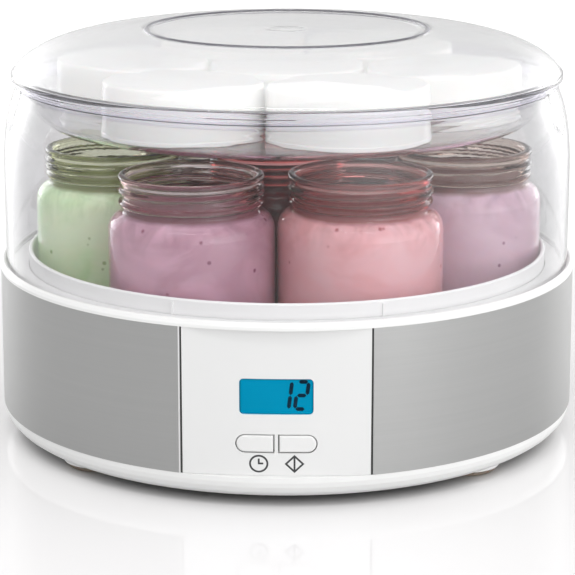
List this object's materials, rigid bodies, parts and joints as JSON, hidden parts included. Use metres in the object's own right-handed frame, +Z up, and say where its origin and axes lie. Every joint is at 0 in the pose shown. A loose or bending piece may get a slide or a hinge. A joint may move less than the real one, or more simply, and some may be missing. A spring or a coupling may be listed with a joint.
{
  "type": "yogurt maker",
  "caption": "Round countertop yogurt maker with a steel-wrapped heated base, control panel, clear cover, lid tray and dome lid over glass jars.",
  "frame": {"origin": "on the table, under the centre of the round base", "axes": "+Z up along the axis of the base, -Y out of the control fascia, +X to the right of someone facing the fascia"},
  "size_m": [0.253, 0.2526, 0.1766],
  "materials": {
    "white_plastic": "satin",
    "well_plastic": "satin",
    "steel": "brushed",
    "rubber": "matte",
    "screw_steel": "satin",
    "lcd_clear": "polished",
    "lcd_face": "backlit",
    "lcd_ink": "matte",
    "button_white": "satin",
    "board": "satin",
    "chip_black": "matte",
    "aluminium": "rolled",
    "heater": "matte",
    "mica": "matte",
    "thermo_metal": "satin",
    "copper": "wound",
    "core_steel": "laminated",
    "relay_blue": "satin",
    "terminal_grey": "matte",
    "gland_black": "matte",
    "clear_plastic": "polished",
    "jar_glass": "polished",
    "lid_white": "satin",
    "yogurt_green": "moist",
    "yogurt_lilac": "moist",
    "yogurt_pink": "moist",
    "yogurt_lavender": "moist",
    "yogurt_berry": "moist",
    "yogurt_cream": "moist",
    "yogurt_rose": "moist"
  },
  "bodies": {
    "base": {"base_housing": "white_plastic", "well_liner": "well_plastic", "bottom_cover": "white_plastic", "rubber_feet": "rubber", "bottom_screws": "screw_steel", "steel_wrap_right": "steel", "steel_wrap_left": "steel", "rear_inlay": "white_plastic", "cord_gland": "gland_black", "fascia_seals": "gland_black", "control_fascia": "white_plastic", "lcd_window": "lcd_clear", "lcd_module": "lcd_face", "lcd_numerals": "lcd_ink", "tact_switches": "chip_black", "control_board": "board", "controller_chip": "chip_black", "display_carrier": "chip_black", "control_board_screws": "screw_steel", "heating_plate": "aluminium", "heater_ring": "heater", "insulating_disc": "mica", "heater_screws": "screw_steel", "thermostat": "thermo_metal", "thermal_fuse": "thermo_metal", "power_board": "board", "power_board_screws": "screw_steel", "transformer_core": "core_steel", "transformer_coil": "copper", "relay": "relay_blue", "mains_terminal": "terminal_grey"},
    "timer_button": {"button_timer": "button_white"},
    "start_button": {"button_start": "button_white"},
    "cover": {"cover_wall": "clear_plastic"},
    "tray": {"lid_tray": "clear_plastic"},
    "dome": {"dome_lid": "clear_plastic"},
    "jar_front_left": {"jar_front_left": "jar_glass", "yogurt_front_left": "yogurt_lilac"},
    "jar_front_right": {"jar_front_right": "jar_glass", "yogurt_front_right": "yogurt_pink"},
    "jar_side_left": {"jar_side_left": "jar_glass", "yogurt_side_left": "yogurt_green"},
    "jar_side_right": {"jar_side_right": "jar_glass", "yogurt_side_right": "yogurt_lavender"},
    "jar_centre": {"jar_centre": "jar_glass", "yogurt_centre": "yogurt_berry"},
    "jar_back_left": {"jar_back_left": "jar_glass", "yogurt_back_left": "yogurt_cream"},
    "jar_back_right": {"jar_back_right": "jar_glass", "yogurt_back_right": "yogurt_rose"},
    "jar_lid_centre": {"jar_lid_centre": "lid_white"},
    "jar_lid_right": {"jar_lid_right": "lid_white"},
    "jar_lid_back_right": {"jar_lid_back_right": "lid_white"},
    "jar_lid_back_left": {"jar_lid_back_left": "lid_white"},
    "jar_lid_left": {"jar_lid_left": "lid_white"},
    "jar_lid_front_left": {"jar_lid_front_left": "lid_white"},
    "jar_lid_front_right": {"jar_lid_front_right": "lid_white"}
  },
  "joints": [
    {"name": "timer_button_press", "type": "slide", "parent": "base", "child": "timer_button", "axis": [0, 1, 0], "range_m": [0, 0.0008], "stiffness_N_per_m": 500, "springref_m": -0.001},
    {"name": "start_button_press", "type": "slide", "parent": "base", "child": "start_button", "axis": [0, 1, 0], "range_m": [0, 0.0008], "stiffness_N_per_m": 500, "springref_m": -0.001},
    {"name": "cover_lift", "type": "slide", "parent": "base", "child": "cover", "axis": [0, 0, 1], "range_m": [0, 0.1]},
    {"name": "tray_lift", "type": "slide", "parent": "cover", "child": "tray", "axis": [0, 0, 1], "range_m": [0, 0.05]},
    {"name": "dome_lift", "type": "slide", "parent": "tray", "child": "dome", "axis": [0, 0, 1], "range_m": [0, 0.05]},
    {"name": "jar_front_left_lift", "type": "slide", "parent": "base", "child": "jar_front_left", "axis": [0, 0, 1], "range_m": [0, 0.01]},
    {"name": "jar_front_right_lift", "type": "slide", "parent": "base", "child": "jar_front_right", "axis": [0, 0, 1], "range_m": [0, 0.01]},
    {"name": "jar_side_left_lift", "type": "slide", "parent": "base", "child": "jar_side_left", "axis": [0, 0, 1], "range_m": [0, 0.01]},
    {"name": "jar_side_right_lift", "type": "slide", "parent": "base", "child": "jar_side_right", "axis": [0, 0, 1], "range_m": [0, 0.01]},
    {"name": "jar_centre_lift", "type": "slide", "parent": "base", "child": "jar_centre", "axis": [0, 0, 1], "range_m": [0, 0.01]},
    {"name": "jar_back_left_lift", "type": "slide", "parent": "base", "child": "jar_back_left", "axis": [0, 0, 1], "range_m": [0, 0.01]},
    {"name": "jar_back_right_lift", "type": "slide", "parent": "base", "child": "jar_back_right", "axis": [0, 0, 1], "range_m": [0, 0.01]},
    {"name": "jar_lid_centre_lift", "type": "slide", "parent": "tray", "child": "jar_lid_centre", "axis": [0, 0, 1], "range_m": [0, 0.009]},
    {"name": "jar_lid_right_lift", "type": "slide", "parent": "tray", "child": "jar_lid_right", "axis": [0, 0, 1], "range_m": [0, 0.004]},
    {"name": "jar_lid_back_right_lift", "type": "slide", "parent": "tray", "child": "jar_lid_back_right", "axis": [0, 0, 1], "range_m": [0, 0.004]},
    {"name": "jar_lid_back_left_lift", "type": "slide", "parent": "tray", "child": "jar_lid_back_left", "axis": [0, 0, 1], "range_m": [0, 0.004]},
    {"name": "jar_lid_left_lift", "type": "slide", "parent": "tray", "child": "jar_lid_left", "axis": [0, 0, 1], "range_m": [0, 0.004]},
    {"name": "jar_lid_front_left_lift", "type": "slide", "parent": "tray", "child": "jar_lid_front_left", "axis": [0, 0, 1], "range_m": [0, 0.004]},
    {"name": "jar_lid_front_right_lift", "type": "slide", "parent": "tray", "child": "jar_lid_front_right", "axis": [0, 0, 1], "range_m": [0, 0.004]}
  ]
}
